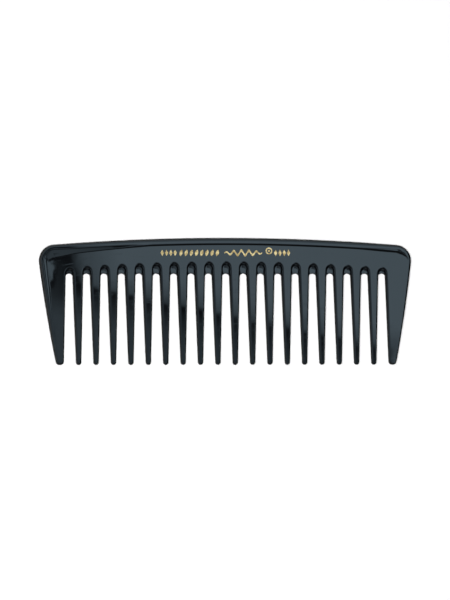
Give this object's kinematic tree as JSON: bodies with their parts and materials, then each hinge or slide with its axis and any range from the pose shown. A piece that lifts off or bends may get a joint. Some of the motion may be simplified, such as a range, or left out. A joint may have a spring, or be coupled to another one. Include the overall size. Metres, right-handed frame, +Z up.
{
  "type": "wide tooth comb",
  "caption": "Wide tooth hair comb in polished black hard rubber, with a thickened back, tapered round-tipped teeth between two broad end teeth, and a row of gilt ornament.",
  "frame": {"origin": "middle of the comb's outline, on the flat surface that it lies on with its marked face up", "axes": "+X along the comb to the right as the marks are read, +Y from the tooth tips to the back, +Z up out of the marked face"},
  "size_m": [0.165, 0.0554, 0.005],
  "materials": {
    "hard_rubber": "highly polished black hard rubber, glossy, with faint hairline scratches",
    "gilt_foil": "hot-stamped gold foil, satin and slightly broken at its edges"
  },
  "bodies": {
    "root": {"comb_body": "hard_rubber", "gilt_left_lozenge_1": "gilt_foil", "gilt_left_lozenge_2": "gilt_foil", "gilt_left_lozenge_3": "gilt_foil", "gilt_left_lozenge_4": "gilt_foil", "gilt_leaf_1": "gilt_foil", "gilt_leaf_2": "gilt_foil", "gilt_leaf_3": "gilt_foil", "gilt_leaf_4": "gilt_foil", "gilt_leaf_5": "gilt_foil", "gilt_leaf_6": "gilt_foil", "gilt_leaf_7": "gilt_foil", "gilt_leaf_8": "gilt_foil", "gilt_scroll": "gilt_foil", "gilt_roundel_ring": "gilt_foil", "gilt_roundel_dot": "gilt_foil", "gilt_right_lozenge_1": "gilt_foil", "gilt_right_lozenge_2": "gilt_foil", "gilt_right_lozenge_3": "gilt_foil", "gilt_right_lozenge_4": "gilt_foil"}
  },
  "joints": []
}
